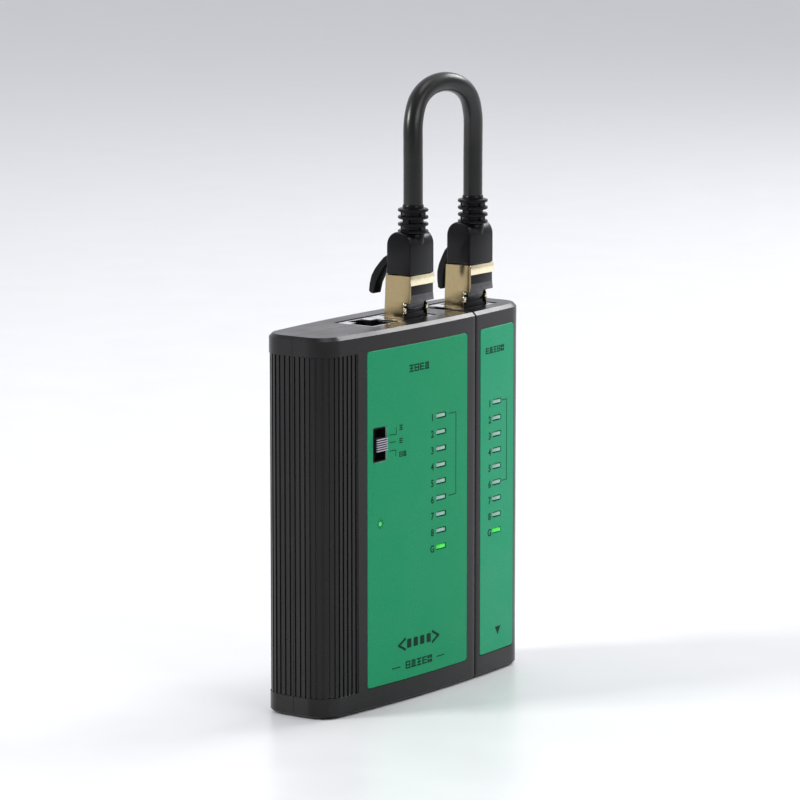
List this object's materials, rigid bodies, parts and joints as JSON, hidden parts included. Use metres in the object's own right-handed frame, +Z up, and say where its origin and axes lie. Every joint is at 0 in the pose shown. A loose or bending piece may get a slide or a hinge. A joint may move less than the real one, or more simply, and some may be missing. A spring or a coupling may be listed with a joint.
{
  "type": "network cable tester",
  "caption": "Handheld network cable tester: ribbed black case, green front plates with indicator lights, a detachable remote unit and a short shielded patch cord across the two.",
  "frame": {"origin": "centre of the base the tester stands on, remote unit docked", "axes": "+Z up along the case, +X to the right along the front, towards the remote unit, +Y to the back"},
  "size_m": [0.098, 0.0282, 0.1775],
  "materials": {
    "case_black": "fine matte texture",
    "plate_green": "fine grained satin overlay",
    "board_green": "solder mask",
    "chip_black": "moulded epoxy",
    "light_bar": "frosted light guide",
    "lit_green": "lit indicator",
    "clear_latch": "clear moulding",
    "jack_steel": "bright tinned sheet",
    "screw_steel": "zinc plated",
    "plug_gold": "gold plated sheet",
    "contact_gold": "gold plated wire",
    "insert_black": "glossy moulding",
    "boot_black": "satin moulding",
    "cord_black": "satin sheath",
    "knob_grey": "satin",
    "battery_wrap": "printed sleeve",
    "lead_red": "insulation",
    "lead_black": "insulation"
  },
  "bodies": {
    "remote": {"remote_front_shell": "case_black", "remote_rear_shell": "case_black", "remote_faceplate": "plate_green", "remote_circuit_board": "board_green", "remote_light_guide": "light_bar", "remote_shield_line_lens": "lit_green", "remote_screw_1": "screw_steel", "remote_screw_2": "screw_steel", "remote_jack_shield": "jack_steel", "remote_jack_housing": "insert_black", "remote_jack_contacts": "contact_gold"},
    "main": {"main_front_shell": "case_black", "main_rear_shell": "case_black", "main_faceplate": "plate_green", "main_circuit_board": "board_green", "main_controller_chip": "chip_black", "main_light_guide": "light_bar", "main_shield_line_lens": "lit_green", "power_lens": "lit_green", "switch_housing": "screw_steel", "dock_rail": "case_black", "battery": "battery_wrap", "battery_snap": "chip_black", "battery_lead_positive": "lead_red", "battery_lead_negative": "lead_black", "main_screw_1": "screw_steel", "main_screw_2": "screw_steel", "main_screw_3": "screw_steel", "main_screw_4": "screw_steel", "free_jack_shield": "jack_steel", "free_jack_housing": "insert_black", "free_jack_contacts": "contact_gold", "main_jack_shield": "jack_steel", "main_jack_housing": "insert_black", "main_jack_contacts": "contact_gold"},
    "switch": {"switch_knob": "knob_grey"},
    "door": {"battery_door": "case_black"},
    "cord": {"patch_cord": "cord_black", "main_plug_shield": "plug_gold", "main_plug_insert": "insert_black", "main_plug_boot": "boot_black", "main_plug_relief": "boot_black", "remote_plug_shield": "plug_gold", "remote_plug_insert": "insert_black", "remote_plug_boot": "boot_black", "remote_plug_relief": "boot_black"},
    "main_cover": {"main_latch_cover": "boot_black"},
    "main_lever": {"main_latch_lever": "clear_latch"},
    "remote_cover": {"remote_latch_cover": "boot_black"},
    "remote_lever": {"remote_latch_lever": "clear_latch"}
  },
  "joints": [
    {"name": "unit_slide", "type": "slide", "parent": "remote", "child": "main", "axis": [0, 0, 1], "range_m": [0, 0.11]},
    {"name": "switch_slide", "type": "slide", "parent": "main", "child": "switch", "axis": [0, 0, 1], "range_m": [-0.0023, 0.0023]},
    {"name": "battery_door_hinge", "type": "hinge", "parent": "main", "child": "door", "pos_m": [-0.0287, 0.012, 0.037], "axis": [0, 0, 1], "range_deg": [0, 95]},
    {"name": "patch_cord_lift", "type": "slide", "parent": "main", "child": "cord", "axis": [0, 0, 1], "range_m": [0, 0.022]},
    {"name": "main_cover_press", "type": "hinge", "parent": "cord", "child": "main_cover", "pos_m": [0.0033, 0.00195, 0.1258], "axis": [-1, 0, 0], "range_deg": [0, 18], "stiffness_Nm_per_rad": 0.02},
    {"name": "main_lever_flex", "type": "hinge", "parent": "cord", "child": "main_lever", "pos_m": [0.0033, 0.0025, 0.0993], "axis": [1, 0, 0], "range_deg": [0, 4.2]},
    {"name": "remote_cover_press", "type": "hinge", "parent": "cord", "child": "remote_cover", "pos_m": [0.033, 0.00195, 0.1258], "axis": [-1, 0, 0], "range_deg": [0, 4], "stiffness_Nm_per_rad": 0.02},
    {"name": "remote_lever_flex", "type": "hinge", "parent": "cord", "child": "remote_lever", "pos_m": [0.033, 0.0025, 0.0993], "axis": [1, 0, 0], "range_deg": [0, 1.8]}
  ],
  "couplings": [
    {"joint": "main_lever_flex", "follows": "main_cover_press", "ratio": 0.23},
    {"joint": "remote_lever_flex", "follows": "remote_cover_press", "ratio": 0.4}
  ]
}
